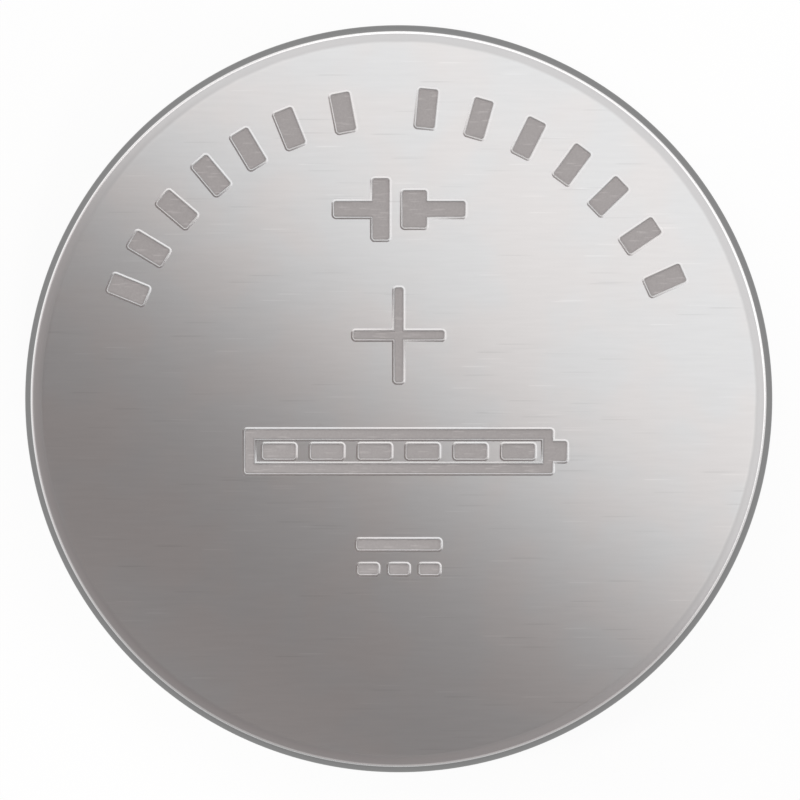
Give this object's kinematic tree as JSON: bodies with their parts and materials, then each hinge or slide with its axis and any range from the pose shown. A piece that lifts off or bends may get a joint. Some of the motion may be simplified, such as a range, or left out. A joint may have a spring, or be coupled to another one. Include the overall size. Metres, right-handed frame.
{
  "type": "lithium coin cell",
  "caption": "Flat round lithium coin cell: crimped steel can, plastic gasket and stepped cap round a lithium disc, separator and cathode pellet.",
  "frame": {"origin": "centre of the negative contact's outer face, on the surface that the cell lies on", "axes": "+Z along the cell's axis, from the negative contact up through the positive face; +X along the brushing of the positive face; +Y towards the top of the positive face's marks"},
  "size_m": [0.02, 0.02, 0.0025],
  "materials": {
    "can_steel": "fine straight brushing on the flat face, satin plating on the corner and wall",
    "gasket_plastic": "milky translucent polypropylene",
    "cap_steel": "satin, with fine circular polishing",
    "lithium": "soft dull rolled metal",
    "separator_felt": "white nonwoven felt",
    "cathode_mix": "pressed granular powder, dull black",
    "ring_steel": "plain stamped sheet"
  },
  "bodies": {
    "root": {"positive_can": "can_steel", "sealing_gasket": "gasket_plastic", "negative_cap": "cap_steel", "lithium_anode": "lithium", "separator": "separator_felt", "cathode_pellet": "cathode_mix", "cathode_ring": "ring_steel"}
  },
  "joints": []
}
